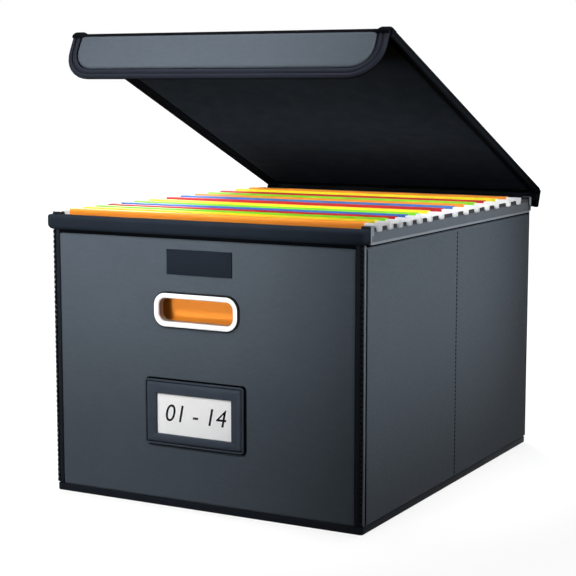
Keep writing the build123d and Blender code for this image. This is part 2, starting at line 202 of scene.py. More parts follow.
# ---------------------------------------------------------------- finishes
def leatherette(name, light, dark):
    """Embossed leatherette: fine low pebbles, wrinkles that run across, a tone that drifts a little."""
    finish = Finish(name)
    place = finish.place()
    drift = finish.noise(place, 1.8 * mm, 2.0, "Color")
    bent = finish.moved(place, finish.stretched(drift, (1.1 * mm,) * 3))
    inputs = {"Vector": bent, "Scale": 1 / (1.3 * mm), "Smoothness": 0.6}
    pebble = finish.node("ShaderNodeTexVoronoi", {"feature": "SMOOTH_F1"}, inputs, "Distance")
    crease = pebble.between(0.3, 0.8)
    wrinkle = finish.noise(finish.stretched(bent, (0.3, 0.3, 1.0)), 2.4 * mm, 4.0)
    broad = finish.noise(place, 40 * mm, 3.0)
    tone = 0.6 - 0.2 * crease + 0.5 * (wrinkle - 0.5) + 0.4 * (broad - 0.5)
    height = 0.8 * wrinkle - 0.35 * crease
    return finish.surface(
        Base_Color=finish.mix(tone, dark, light),
        Roughness=0.5 + 0.1 * crease + 0.1 * (broad - 0.5),
        Specular_IOR_Level=0.03,
        Normal=finish.bump(height, 0.06 * mm))


def smooth_leatherette(name, light, dark, roughness=0.5, sheen=0.03):
    """Leatherette of the bindings: a tight, shallow grain and fine pull marks."""
    finish = Finish(name)
    place = finish.place()
    grain = finish.noise(place, 0.8 * mm, 3.0)
    broad = finish.noise(place, 18 * mm, 3.0)
    pull = finish.noise(finish.stretched(place, (0.25, 1.0, 1.0)), 3.5 * mm, 2.0)
    tone = 0.5 + 0.9 * (grain - 0.5) + 0.6 * (broad - 0.5)
    return finish.surface(
        Base_Color=finish.mix(tone, dark, light),
        Roughness=roughness + 0.16 * (broad - 0.5),
        Specular_IOR_Level=sheen,
        Normal=finish.bump(0.5 * grain + 0.5 * pull, 0.08 * mm))


def felt(name, light, dark):
    """Short-pile felt: matted fibres and faint cloudy patches."""
    finish = Finish(name)
    place = finish.place()
    swirl = finish.noise(place, 9 * mm, 2.0, "Color")
    combed = finish.moved(place, finish.stretched(swirl, (6 * mm,) * 3))
    fibre = finish.noise(finish.stretched(combed, (1.0, 0.3, 1.0)), 0.7 * mm, 4.0)
    cloud = finish.noise(place, 16 * mm, 3.0)
    tone = 0.5 + 1.1 * (fibre - 0.5) + 1.2 * (cloud - 0.5)
    return finish.surface(
        Base_Color=finish.mix(tone, dark, light),
        Roughness=0.95, Specular_IOR_Level=0.0,
        Normal=finish.bump(fibre, 0.25 * mm))


def card(name, light, dark):
    """Dyed card of the folders: paper fibres, faint mottling and slightly rubbed tone."""
    finish = Finish(name)
    place = finish.place()
    fibre = finish.noise(finish.stretched(place, (0.35, 1.0, 1.0)), 0.6 * mm, 4.0)
    cloud = finish.noise(place, 22 * mm, 3.0)
    tone = 0.5 + 0.5 * (fibre - 0.5) + 0.6 * (cloud - 0.5)
    return finish.surface(
        Base_Color=finish.mix(tone, dark, light),
        Roughness=0.62 + 0.1 * (fibre - 0.5), Specular_IOR_Level=0.3,
        Normal=finish.bump(fibre, 0.05 * mm))


def moulded(name, light, dark, roughness, texture, sheen=0.5):
    """Moulded plastic: fine mould texture, faint flow marks and uneven gloss."""
    finish = Finish(name)
    place = finish.place()
    spark = finish.noise(place, 0.5 * mm, 2.0)
    flow = finish.noise(finish.stretched(place, (1.0, 0.2, 1.0)), 12 * mm, 2.0)
    tone = 0.5 + 0.5 * (spark - 0.5) + 0.7 * (flow - 0.5)
    return finish.surface(
        Base_Color=finish.mix(tone, dark, light),
        Roughness=roughness + 0.12 * (flow - 0.5),
        Specular_IOR_Level=sheen,
        Normal=finish.bump(spark, texture))


def thread(name, light, dark):
    """Sewing thread: fine slanting strands."""
    finish = Finish(name)
    place = finish.stretched(finish.place(), (1.0, 1.0, 0.6))
    settings = {"wave_type": "BANDS", "bands_direction": "DIAGONAL"}
    strand = finish.node("ShaderNodeTexWave", settings, {"Vector": place, "Scale": 600.0}, "Fac")
    return finish.surface(
        Base_Color=finish.mix(strand, dark, light),
        Roughness=0.6, Specular_IOR_Level=0.05,
        Normal=finish.bump(strand, 0.08 * mm))


def printed_ink(name, thin, full):
    """Printed ink, which covers a little unevenly."""
    finish = Finish(name)
    cover = finish.noise(finish.place(), 1.2 * mm, 3.0)
    return finish.surface(
        Base_Color=finish.mix(cover.between(0.3, 0.5), thin, full),
        Roughness=0.5, Specular_IOR_Level=0.05)


WALL = leatherette("wall_leatherette", srgb(78, 86, 94), srgb(65, 72, 80))
LID_LEATHER = leatherette("lid_leatherette", srgb(79, 86, 94), srgb(67, 74, 81))
FRAME_LEATHER = smooth_leatherette("frame_leatherette", srgb(67, 74, 84), srgb(53, 59, 69), 0.36)
BAND = smooth_leatherette("rim_leatherette", srgb(35, 41, 49), srgb(27, 32, 39), 0.6, 0.0)
BASE = smooth_leatherette("base_leatherette", srgb(28, 32, 39), srgb(20, 23, 29))
TRIM = smooth_leatherette("lid_trim_leatherette", srgb(36, 39, 48), srgb(26, 29, 37))
HEM = smooth_leatherette("lid_hem_leatherette", srgb(17, 18, 21), srgb(10, 11, 14), 0.6, 0.0)
EDGE = smooth_leatherette("lid_edge_leatherette", srgb(27, 30, 34), srgb(17, 19, 22), 0.6, 0.0)
# Lighter leatherette of the corner beads: a painted highlight along the corners.
BEAD_HIGHLIGHT = smooth_leatherette("bead_painted_highlight_leatherette", srgb(112, 119, 127), srgb(92, 99, 107))
SEAM = smooth_leatherette("seam_leatherette", srgb(34, 38, 43), srgb(25, 28, 33), 0.6, 0.01)
# Near-black leatherette that paints shade into gaps, grooves and recesses: under the rims, in the corner
# grooves, round the label holder and in the flap's grooves.
PAINTED_SHADE = smooth_leatherette("painted_shade_leatherette", srgb(15, 17, 20), srgb(8, 9, 11), 0.7, 0.0)
FELT = felt("lid_felt", srgb(38, 43, 50), srgb(28, 32, 38))
LINING = felt("box_lining", srgb(30, 32, 36), srgb(18, 20, 23))
RAIL = moulded("rail_plastic", srgb(72, 79, 87), srgb(64, 71, 79), 0.45, 0.03 * mm, 0.12)
# Lighter plastic of the rails' borders: a painted highlight along their rounded edges.
RAIL_HIGHLIGHT = moulded("rail_painted_highlight_plastic", srgb(111, 118, 125), srgb(97, 104, 112), 0.4, 0.02 * mm, 0.2)
# Dark plastic of the rails' upper edge, inner faces and ends: painted shade between the hooks and inside the
# rim.
RAIL_SHADE = moulded("rail_painted_shade_plastic", srgb(34, 38, 43), srgb(24, 27, 32), 0.5, 0.02 * mm, 0.1)
WHITE = moulded("handle_plastic", srgb(244, 245, 246), srgb(236, 237, 239), 0.22, 0.004 * mm, 0.4)
# Grey plastic of the collar inside the finger holes: a painted shade of the white plastic.
COLLAR_SHADE = moulded("handle_collar_painted_shade", srgb(150, 142, 138), srgb(134, 126, 122), 0.4, 0.004 * mm, 0.2)
# Black of the foot under the rings: a painted shadow on the wall round them.
RING_SHADOW = moulded("handle_painted_shadow", srgb(12, 13, 16), srgb(7, 8, 10), 0.5, 0.01 * mm, 0.1)
STEEL = moulded("coated_steel", srgb(252, 252, 254), srgb(243, 245, 248), 0.28, 0.01 * mm)
PAPER = card("label_paper", srgb(255, 255, 255), srgb(250, 250, 250))
CORE = card("wrapped_board", srgb(34, 35, 38), srgb(22, 23, 26))
INK = printed_ink("number_ink", srgb(20, 20, 22), srgb(8, 8, 9))
DARK_THREAD = thread("dark_thread", srgb(18, 20, 24), srgb(6, 7, 9))
FOLDER_CARDS = {
    "orange": card("folder_orange", srgb(255, 156, 48), srgb(246, 140, 34)),
    "yellow": card("folder_yellow", srgb(255, 243, 44), srgb(250, 228, 32)),
    "green": card("folder_green", srgb(146, 232, 40), srgb(124, 214, 34)),
    "red": card("folder_red", srgb(214, 32, 40), srgb(190, 22, 32)),
    "blue": card("folder_blue", srgb(62, 124, 214), srgb(46, 104, 196)),
}


# ---------------------------------------------------------------- modelling helpers
def block(low, high):
    """A bmesh block between two corners."""
    bm = bmesh.new()
    bmesh.ops.create_cube(bm, size=1)
    size = Vector(high) - Vector(low)
    middle = (Vector(high) + Vector(low)) / 2
    bmesh.ops.scale(bm, vec=size, verts=bm.verts)
    bmesh.ops.translate(bm, vec=middle, verts=bm.verts)
    return bm


def rounded(bm, edges, offset, segments):
    """Rounds these edges by that much."""
    bmesh.ops.bevel(bm, geom=edges, offset=offset, offset_type="OFFSET", affect="EDGES",
                    segments=segments, profile=0.5, material=-1, clamp_overlap=True)


def sharp_edges(bm):
    """The edges at which the surface turns by more than 30 degrees."""
    least = math.radians(30)
    return [edge for edge in bm.edges if edge.is_manifold and edge.calc_face_angle() > least]


def sheet_of(bm, points):
    """A flat face through these points."""
    return bm.faces.new([bm.verts.new(point) for point in points])


def put_into(bm, other):
    """Adds one bmesh to another."""
    passing = bpy.data.meshes.new("passing")
    other.to_mesh(passing)
    other.free()
    bm.from_mesh(passing)
    bpy.data.meshes.remove(passing)


def stitch_row(bm, start, end, out, pitch, length, thickness, slant=0.0):
    """Stitches on a straight line, standing on the surface whose outward direction is given."""
    start, end, out = Vector(start), Vector(end), Vector(out).normalized()
    along = (end - start).normalized()
    count = round((end - start).length / pitch)
    step = (end - start) / count
    row = bmesh.new()
    bmesh.ops.create_uvsphere(row, u_segments=6, v_segments=5, radius=1,
                              matrix=Matrix.Rotation(math.pi / 2, 4, "Y"))
    for vertex in row.verts:
        sunk = 0.35 * thickness * vertex.co.x ** 2
        half = thickness / 2
        vertex.co = Vector((vertex.co.x * length / 2, vertex.co.y * half, vertex.co.z * half - sunk))
    turn = Matrix.Rotation(math.radians(slant), 4, "Z")
    row.transform(axes(along, out.cross(along), out, start + step / 2) @ turn)
    bmesh.ops.spin(row, geom=row.verts[:] + row.edges[:] + row.faces[:], cent=(0, 0, 0), axis=(0, 0, 1),
                   dvec=step, angle=0, steps=count - 1, use_duplicate=True)
    put_into(bm, row)


def ring(bm, low, high, radii, height):
    """A rounded rectangle of edges at that height; radii are of its lower and upper corners."""
    before = set(bm.edges)
    points = [(low[0], low[1]), (high[0], low[1]), (high[0], high[1]), (low[0], high[1])]
    face = sheet_of(bm, [(x, y, height) for x, y in points])
    middle = (low[1] + high[1]) / 2
    corners = list(face.verts)
    for side, radius in ((-1, radii[0]), (1, radii[1])):
        pair = [vertex for vertex in corners if vertex.is_valid and (vertex.co.y - middle) * side > 0]
        bmesh.ops.bevel(bm, geom=pair, offset=radius, offset_type="OFFSET", affect="VERTICES",
                        segments=8, profile=0.5, material=-1)
    edges = [edge for edge in bm.edges if edge not in before]
    faces = {face for edge in edges for face in edge.link_faces}
    bmesh.ops.delete(bm, geom=list(faces), context="FACES_ONLY")
    return edges


def lofted(bm, low, high, radii, profile, closed=(True, True)):
    """Skin over rings set in from a rounded rectangle: each step is an inset, a height and a finish.

    closed says whether the first and the last ring are filled."""
    rings = []
    for inset, height, *_ in profile:
        left, lower = low[0] + inset, low[1] + inset
        right, upper = high[0] - inset, high[1] - inset
        reduced = [max(radius - inset, 0.3 * mm) for radius in radii]
        rings.append(ring(bm, (left, lower), (right, upper), reduced, height))
    for (_, _, finish), first, second in zip(profile[1:], rings, rings[1:]):
        made = bmesh.ops.bridge_loops(bm, edges=first + second)
        for face in made["faces"]:
            face.material_index = finish
    for wanted, loop, finish in zip(closed, (rings[0], rings[-1]), (profile[0][2], profile[-1][2])):
        if wanted:
            made = bmesh.ops.contextual_create(bm, geom=loop)
            for face in made["faces"]:
                face.material_index = finish


def finish_piece(name, bm, body, finishes, replaces=(), place=Matrix(), sharp=35, recalc=True):
    """Turns a bmesh into a piece in its place, on its CAD body unless that is None."""
    bm.transform(place)
    if recalc:
        bmesh.ops.recalc_face_normals(bm, faces=bm.faces)
    mesh = bpy.data.meshes.new(name)
    bm.to_mesh(mesh)
    bm.free()
    mesh.shade_smooth()
    mesh.set_sharp_from_angle(angle=math.radians(sharp))
    piece = bpy.data.objects.new(name, mesh)
    bpy.context.scene.collection.objects.link(piece)
    for finish in finishes:
        mesh.materials.append(finish)
    if replaces:
        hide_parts(*replaces)
    if body:
        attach(piece, body)
    return piece


def copied(node):
    """A CAD node's own shape as a bmesh, with its flat faces whole."""
    bm = bmesh.new()
    bm.from_mesh(frame["nodes"][node].data)
    bmesh.ops.remove_doubles(bm, verts=bm.verts, dist=1e-6)
    bmesh.ops.dissolve_limit(bm, angle_limit=math.radians(1), verts=bm.verts, edges=bm.edges)
    return bm


def soften(piece, width, segments):
    """Rounds a piece's sharp edges."""
    bevel = piece.modifiers.new("edges", "BEVEL")
    bevel.width = width
    bevel.segments = segments
    bevel.limit_method = "ANGLE"
    bevel.angle_limit = math.radians(40)
    bevel.harden_normals = False


def softened_copy(name, node, body, finish, width, segments=2):
    """A CAD node's own shape with its sharp edges rounded."""
    piece = finish_piece(name, copied(node), body, [finish], [node], recalc=False)
    soften(piece, width, segments)


def keep_node(node, finish):
    """Shows a CAD node as it is, in its finish."""
    mesh = frame["nodes"][node].data
    mesh.materials.clear()
    mesh.materials.append(finish)


def new_parts(made, kind):
    """The vertices or the faces that an operator has made."""
    return [part for part in made["geom"] if isinstance(part, kind)]


# ---------------------------------------------------------------- walls
BACK, SHADED_FACES = 1, 2            # a wall's second and third finish, of its inside and of the painted shade in its gaps and at its ends
HOLE_FLAT = 3.4 * mm        # half of the straight part at each end of the finger holes
SLOT_FIELD = 1.6            # height of the flat field round a hole, in heights of the hole


def graded(low, high, inner=()):
    """Grid lines between two values, closer together near both ends."""
    steps = (0, 0.7, 1.6, 3.0, 5.0, 8.0)
    near = [low + step * mm for step in steps]
    far = [high - step * mm for step in steps]
    return sorted(set(near + far + list(inner)))


def roll_off(distance, reach, drop):
    """How far a skin has sunk at that distance from the edge over which it rolls."""
    if distance >= reach:
        return 0.0
    share = 1 - max(distance, 0.0) / reach
    return drop * (1 - math.sqrt(1 - share ** 2))


def padded_panel(u, v, thick, rolls, hole=None):
    """Board with a skin that rolls back at its edges, drawn across x and up y with its face at z 0.

    rolls gives reach and drop at the left, right, lower and upper edge. hole is a rounded slot: half its
    length less half its height, half its height, and its middle across and up."""
    bm = bmesh.new()
    inner_u, inner_v = [], []
    if hole:
        half, radius, shift, centre = hole
        inner_u = [shift - half - 2 * radius, shift + half + 2 * radius]
        inner_v = [centre - SLOT_FIELD * radius, centre + SLOT_FIELD * radius]
    lines_u = graded(u[0], u[1], inner_u)
    lines_v = graded(v[0], v[1], inner_v)
    bmesh.ops.create_grid(bm, x_segments=len(lines_u) - 1, y_segments=len(lines_v) - 1, size=1)
    left, right, lower, upper = rolls
    for vertex in bm.verts:
        column = round((vertex.co.x + 1) / 2 * (len(lines_u) - 1))
        row = round((vertex.co.y + 1) / 2 * (len(lines_v) - 1))
        x, y = lines_u[column], lines_v[row]
        drop = roll_off(x - u[0], *left) + roll_off(u[1] - x, *right)
        drop += roll_off(y - v[0], *lower) + roll_off(v[1] - y, *upper)
        vertex.co = Vector((x, y, -drop))
    if hole:
        open_slot(bm, half, radius, shift, centre)
    made = bmesh.ops.extrude_face_region(bm, geom=bm.faces[:], use_keep_orig=True)
    for vertex in new_parts(made, bmesh.types.BMVert):
        vertex.co.z = -thick
    for face in new_parts(made, bmesh.types.BMFace):
        face.material_index = BACK
    return bm


def shade_painted_ends(bm, beyond):
    """Gives a wall's skin the painted-shade finish where it lies further across than that, darkening it at
    its ends.
    """
    for face in bm.faces:
        if abs(face.calc_center_median().x) > beyond:
            face.material_index = SHADED_FACES


def open_slot(bm, half, radius, shift, centre):
    """Cuts a slot with well rounded corners in a flat part of a panel."""
    inside = []
    for face in bm.faces:
        middle = face.calc_center_median()
        if abs(middle.x - shift) < half and abs(middle.y - centre) < radius:
            inside.append(face)
    bmesh.ops.delete(bm, geom=inside, context="FACES")
    reach_x, reach_y = half + 2 * radius + mm, SLOT_FIELD * radius + mm

    def beside_slot(vertex):
        return abs(vertex.co.x - shift) < reach_x and abs(vertex.co.y - centre) < reach_y

    rim = [edge for edge in bm.edges if edge.is_boundary and all(beside_slot(end) for end in edge.verts)]
    oval = bmesh.ops.create_circle(bm, segments=50, radius=radius - HOLE_FLAT)["verts"]
    for vertex in oval:
        vertex.co.x += shift + math.copysign(half + HOLE_FLAT, vertex.co.x)
        vertex.co.y += centre + math.copysign(HOLE_FLAT, vertex.co.y)
    edges = list({edge for vertex in oval for edge in vertex.link_edges})
    bmesh.ops.bridge_loops(bm, edges=rim + edges)


NECK = 3.2 * mm             # strip of wall left under the end rims, sunk behind the skin and finished in painted shade
SIDE_NECK = 2.2 * mm        # the same under the rails
NECK_DEPTH = 2.2 * mm       # of that strip behind the skin's face
RING_COVER = 1.6 * mm       # width of wall that the rings cover round the finger holes
SKIN_INSET = 3.3 * mm       # of the end walls' skins at the corners, where the corner strips lie
END_SHADE_WIDTH = 0.7 * mm         # painted shade on the edges of those skins beside the strips
SIDE_SHADE_WIDTH = 1.5 * mm        # painted shade on the edges of the side walls' skins beside the corner beads
# How the skins roll off at their edges: over what width, and how deep.
CORNER_ROLL = (12.0 * mm, 2.3 * mm)
SIDE_ROLL = (3.0 * mm, 1.2 * mm)
FOOT_ROLL = (2.6 * mm, 1.2 * mm)
TOP_ROLL = (3.0 * mm, 1.6 * mm)
FOLD_ROLL = (2.0 * mm, 0.7 * mm)


def end_wall(node, name, directions):
    """Front or rear wall, both cut like the front one, with its finger hole."""
    low, high = box_of("front_panel")
    rim_low = box_of("front_rim_band")[0].z
    ring_low, ring_high = box_of("front_handle_ring")
    centre = (ring_low.z + ring_high.z) / 2
    radius = (ring_high.z - ring_low.z) / 2 - RING_COVER
    half = (ring_high.x - ring_low.x - ring_high.z + ring_low.z) / 2
    shift = (ring_low.x + ring_high.x) / 2
    rolls = (CORNER_ROLL, CORNER_ROLL, FOOT_ROLL, TOP_ROLL)
    across = (low.x + SKIN_INSET, high.x - SKIN_INSET)
    thick = high.y - low.y
    bm = padded_panel(across, (low.z, rim_low - NECK), thick, rolls, hole=(half, radius, shift, centre))
    shade_painted_ends(bm, across[1] - END_SHADE_WIDTH)
    add_neck(bm, (low.x, high.x), (rim_low - NECK, high.z), thick)
    place = axes(*directions) @ Matrix.Translation((0, 0, -low.y))
    finish_piece(name, bm, "box", [WALL, LINING, PAINTED_SHADE], [node], place)


def add_neck(bm, u, v, thick):
    """The top of a wall, sunk behind its skin, where the rim sits on it, in painted shade."""
    neck = block((u[0], v[0] - mm, -thick), (u[1], v[1], -NECK_DEPTH))
    for face in neck.faces:
        face.material_index = SHADED_FACES
    put_into(bm, neck)


def side_wall(node, name, directions, fold_first):
    """Half of a side wall. Its fold is at the lower end of its across direction if fold_first."""
    low, high = box_of(node)
    rim_low = box_of("right_rail")[0].z
    end = max(abs(low.y), abs(high.y))
    u = (0, end) if fold_first else (-end, 0)
    ends = (FOLD_ROLL, SIDE_ROLL) if fold_first else (SIDE_ROLL, FOLD_ROLL)
    thick = high.x - low.x
    bm = padded_panel(u, (low.z, rim_low - SIDE_NECK), thick, (*ends, FOOT_ROLL, TOP_ROLL))
    shade_painted_ends(bm, end - SIDE_SHADE_WIDTH)
    add_neck(bm, u, (rim_low - SIDE_NECK, high.z), thick)
    out = max(abs(low.x), abs(high.x))
    place = axes(*directions) @ Matrix.Translation((0, 0, out))
    finish_piece(name, bm, "box", [WALL, LINING, PAINTED_SHADE], [node], place)


end_wall("front_panel", "front_wall_skin", FRONT)
end_wall("rear_panel", "rear_wall_skin", REAR)
side_wall("right_side_front", "right_wall_front_skin", RIGHT, False)
side_wall("right_side_rear", "right_wall_rear_skin", RIGHT, True)
side_wall("left_side_front", "left_wall_front_skin", LEFT, True)
side_wall("left_side_rear", "left_wall_rear_skin", LEFT, False)


# ---------------------------------------------------------------- upright corners
# Millimetres inwards from the box's corner, along the end wall and then along the side wall.
STRIP_OUTLINE = ((8.4, 4.4), (8.4, 1.4), (7.9, 0.9), (6.4, 0.7), (5.0, 0.8), (4.3, 1.3), (4.1, 2.2),
                 (4.1, 4.4))
# The groove's dark backing is painted shade.
GROOVE_OUTLINE = ((4.2, 2.4), (2.2, 2.2), (1.5, 2.9), (1.3, 5.4), (4.2, 5.4))
SEWING_MIDDLE = (2.5, 1.1)
BEAD_MIDDLE = (1.1, 3.4)
BEAD_RADIUS = 1.0 * mm
FLOOR_CLEARANCE = 0.6 * mm  # under the strips, on the base board
CORNER_PITCH = 4.6 * mm     # of the corners' sewing
CORNER_STITCH = (3.6 * mm, 2.3 * mm)    # length and thickness of its stitches
CORNER_SLANT = 18           # their slant in degrees


def upright_bar(bm, outline, z, finish):
    """Straight upright bar with that outline."""
    before = set(bm.faces)
    sheet = sheet_of(bm, [(x, y, z[0]) for x, y in outline])
    made = bmesh.ops.extrude_face_region(bm, geom=[sheet], use_keep_orig=True)
    top = new_parts(made, bmesh.types.BMVert)
    bmesh.ops.translate(bm, verts=top, vec=(0, 0, z[1] - z[0]))
    for face in set(bm.faces) - before:
        face.material_index = finish


def corner_seam(node, name, sign_y):
    """Both upright corners at one end: a turned strip, a stitched groove backed in painted shade, and a bead
    in a painted highlight.
    """
    low, high = box_of(node)
    seam, groove = 0, 1
    strips, sewing, piping = bmesh.new(), bmesh.new(), bmesh.new()
    edge_y = max(abs(low.y), abs(high.y))
    z = (low.z + FLOOR_CLEARANCE, high.z)
    for sign_x in (-1, 1):

        def at(inward_x, inward_y):
            return sign_x * (high.x - inward_x * mm), sign_y * (edge_y - inward_y * mm)

        upright_bar(strips, [at(*point) for point in STRIP_OUTLINE], z, seam)
        # The groove is filled with painted shade.
        upright_bar(strips, [at(*point) for point in GROOVE_OUTLINE], z, groove)
        middle = Matrix.Translation((*at(*BEAD_MIDDLE), (z[0] + z[1]) / 2))
        bmesh.ops.create_cone(piping, cap_ends=True, segments=14, radius1=BEAD_RADIUS, radius2=BEAD_RADIUS,
                              depth=z[1] - z[0], matrix=middle)
        ends = [(*at(*SEWING_MIDDLE), height) for height in z]
        out = (0.5 * sign_x, sign_y, 0)
        stitch_row(sewing, *ends, out, CORNER_PITCH, *CORNER_STITCH, CORNER_SLANT * sign_x)
    finish_piece(name + "_strips", strips, "box", [SEAM, PAINTED_SHADE], [node])
    # The bead's lighter finish is a painted highlight.
    finish_piece(name + "_bead", piping, "box", [BEAD_HIGHLIGHT])
    finish_piece(name + "_stitches", sewing, "box", [DARK_THREAD], recalc=False)


corner_seam("front_corner_piping", "front_corner", -1)
corner_seam("rear_corner_piping", "rear_corner", 1)


FOLD_PITCH = 3.9 * mm       # of the folds' sewing
FOLD_STITCH = (2.5 * mm, 2.0 * mm)      # length and thickness of its stitches
FOLD_STITCH_SUNK = 0.25 * mm            # of them behind the side wall's face
FOLD_ENDS = 2.0 * mm        # left without stitches at the top and the bottom


def fold_stitches():
    """Sewing down the fold of both side walls."""
    bm = bmesh.new()
    low, high = box_of("right_side_front")
    top = box_of("right_rail")[0].z - SIDE_NECK
    for sign in (-1, 1):
        x = sign * (high.x - FOLD_STITCH_SUNK)
        ends = (x, 0, low.z + FOLD_ENDS), (x, 0, top - FOLD_ENDS)
        stitch_row(bm, *ends, (sign, 0, 0), FOLD_PITCH, *FOLD_STITCH)
    finish_piece("side_fold_stitches", bm, "box", [DARK_THREAD], recalc=False)


fold_stitches()


# ---------------------------------------------------------------- base, rim, rails
# Radii of rounded edges.
BASE_CORNER = 3.0 * mm
BASE_EDGE = 1.2 * mm
BAND_FOOT = 5.0 * mm        # lower corners of the front band, as seen from the front
BAND_NOSE = 4.2 * mm        # its front edges at both ends
BAND_EDGE = 1.5 * mm
REAR_BAND_EDGE = 1.6 * mm
RAIL_EDGE = 0.6 * mm
SHADED_HEIGHT = 5.1 * mm     # of the rails' upper edge, which the hooks run on, in painted shade
SHADED_SHORT = 6.2 * mm      # by which it ends before the rails do


def base_board():
    """Covered board under the walls."""
    bm = block(*box_of("bottom_panel"))
    upright = [edge for edge in bm.edges if abs(edge.verts[0].co.z - edge.verts[1].co.z) > mm]
    rounded(bm, upright, BASE_CORNER, 5)
    rounded(bm, sharp_edges(bm), BASE_EDGE, 3)
    finish_piece("base_board", bm, "box", [BASE], ["bottom_panel"])


def front_band():
    """Rolled band over the front wall's top edge, its ends rounded off at the bottom."""
    low, high = box_of("front_rim_band")
    bm = block(low, high)
    lower_ends = [edge for edge in bm.edges if all(vertex.co.z < low.z + mm for vertex in edge.verts)
                  and abs(edge.verts[0].co.x - edge.verts[1].co.x) < mm]
    rounded(bm, lower_ends, BAND_FOOT, 6)

    def on_front_end(vertex):
        return vertex.co.y < low.y + 0.1 * mm and abs(vertex.co.x) > high.x - BAND_FOOT - mm

    front_ends = [edge for edge in bm.edges if all(on_front_end(vertex) for vertex in edge.verts)]
    rounded(bm, front_ends, BAND_NOSE, 5)
    rounded(bm, sharp_edges(bm), BAND_EDGE, 4)
    finish_piece("front_rim_roll", bm, "box", [BAND], ["front_rim_band"])


def rear_band():
    """Band over the rear wall's top edge."""
    bm = block(*box_of("rear_rim_band"))
    rounded(bm, sharp_edges(bm), REAR_BAND_EDGE, 4)
    finish_piece("rear_rim_roll", bm, "box", [BAND], ["rear_rim_band"])


def side_rail(node, name):
    """Rail with a rounded border in a painted highlight, and its upper edge where the hooks run, its inner
    faces and its ends in painted shade.
    """
    low, high = box_of(node)
    outer = max(abs(low.x), abs(high.x))
    shaded_low = high.z - SHADED_HEIGHT
    shaded_end = high.y - SHADED_SHORT
    plain, highlit, shaded = 0, 1, 2
    bm = copied(node)
    for place, across in (((0, 0, shaded_low), (0, 0, 1)), ((0, shaded_end, 0), (0, 1, 0)),
                          ((0, -shaded_end, 0), (0, 1, 0))):
        whole = bm.verts[:] + bm.edges[:] + bm.faces[:]
        bmesh.ops.bisect_plane(bm, geom=whole, plane_co=place, plane_no=across)
    for face in bm.faces:
        middle = face.calc_center_median()
        inner = face.normal.x * middle.x < -0.5 * abs(middle.x) or abs(face.normal.y) > 0.9
        face.material_index = plain
        # Painted shade on the upper edge, the inner faces and the ends; a painted highlight on the outer
        # border.
        if inner or (middle.z > shaded_low and abs(middle.y) < shaded_end):
            face.material_index = shaded
        elif abs(middle.x) > outer - 0.2 * mm:
            face.material_index = highlit
    finishes = [RAIL, RAIL_HIGHLIGHT, RAIL_SHADE]
    piece = finish_piece(name, bm, "box", finishes, [node], recalc=False)
    soften(piece, RAIL_EDGE, 3)


base_board()
front_band()
rear_band()
side_rail("right_rail", "right_side_rail")
side_rail("left_rail", "left_side_rail")
keep_node("base_insert", LINING)


# ---------------------------------------------------------------- handles, label holder, patch
FOOT = 2.5 * mm             # height of the black foot under the finger holes' rings, a dark piece that paints their shadow on the wall
RING_WIDTH = 5.6 * mm       # of the rings, gasket and all
SHADOW_FOOT_WIDTH = 1.1 * mm     # by which that black foot, the painted shadow, is wider than the white crown
CROWN_ROUND = 1.65 * mm
COLLAR_THICK = 2.6 * mm     # of the collar through the wall
COLLAR_TOP = 0.5 * mm       # height at which the white crown ends inside the hole
BACKING_EDGE = 0.4 * mm


def handle_ring(node, name, directions):
    """Moulded oval grommet: a round crown, a black foot under it that paints its shadow on the wall, and the
    collar through the wall, grey with painted shade inside the hole.
    """
    low, high = box_of("front_handle_ring")
    centre = (low.z + high.z) / 2
    shift = (low.x + high.x) / 2
    outer = (high.z - low.z) / 2
    half = (high.x - low.x) / 2 - outer
    wall = box_of("front_panel")[0].y
    proud = wall - low.y
    deep = high.y - wall
    inner = outer - RING_WIDTH
    lip = outer - SHADOW_FOOT_WIDTH
    collar = inner + COLLAR_THICK
    white, grey, black = 0, 1, 2
    corners = [(inner, -deep), (inner, COLLAR_TOP), (inner, proud), (lip, proud), (lip, FOOT),
               (lip + 0.1 * mm, FOOT - 0.3 * mm), (outer, FOOT - 0.4 * mm), (outer, 0.0), (collar, 0.0),
               (collar, -deep)]
    bm = bmesh.new()
    face = sheet_of(bm, [(radius - HOLE_FLAT, 0, z) for radius, z in corners])
    crown = [vertex for vertex in face.verts if vertex.co.z > proud - 0.01 * mm]
    bmesh.ops.bevel(bm, geom=crown, offset=CROWN_ROUND, offset_type="OFFSET", affect="VERTICES",
                    segments=8, profile=0.5, material=-1)
    bmesh.ops.delete(bm, geom=bm.faces[:], context="FACES_ONLY")
    steps = 64
    half_step = Matrix.Rotation(math.pi / steps, 3, "Z")
    bmesh.ops.rotate(bm, verts=bm.verts, cent=(0, 0, 0), matrix=half_step)
    bmesh.ops.spin(bm, geom=bm.edges[:] + bm.verts[:], cent=(0, 0, 0), axis=(0, 0, 1), angle=2 * math.pi,
                   steps=steps, use_merge=True)
    for face in bm.faces:
        middle = face.calc_center_median()
        reach = Vector(middle.xy).length
        face.material_index = white
        # Black foot and lower flank: painted shadow. Grey collar inside the hole: painted shade.
        if middle.z < FOOT - 0.1 * mm and reach > inner - HOLE_FLAT + mm:
            face.material_index = black
        elif middle.z < COLLAR_TOP + 0.1 * mm:
            face.material_index = grey
    for vertex in bm.verts:
        vertex.co.x += math.copysign(half + HOLE_FLAT, vertex.co.x)
        vertex.co.y += math.copysign(HOLE_FLAT, vertex.co.y)
    place = axes(*directions) @ Matrix.Translation((shift, centre, -wall))
    finish_piece(name, bm, "box", [WHITE, COLLAR_SHADE, RING_SHADOW], [node], place, sharp=50)


handle_ring("front_handle_ring", "front_grommet", FRONT)
handle_ring("rear_handle_ring", "rear_grommet", REAR)
softened_copy("front_grommet_backing", "front_handle_backing", "box", WHITE, BACKING_EDGE)
softened_copy("rear_grommet_backing", "rear_handle_backing", "box", WHITE, BACKING_EDGE)


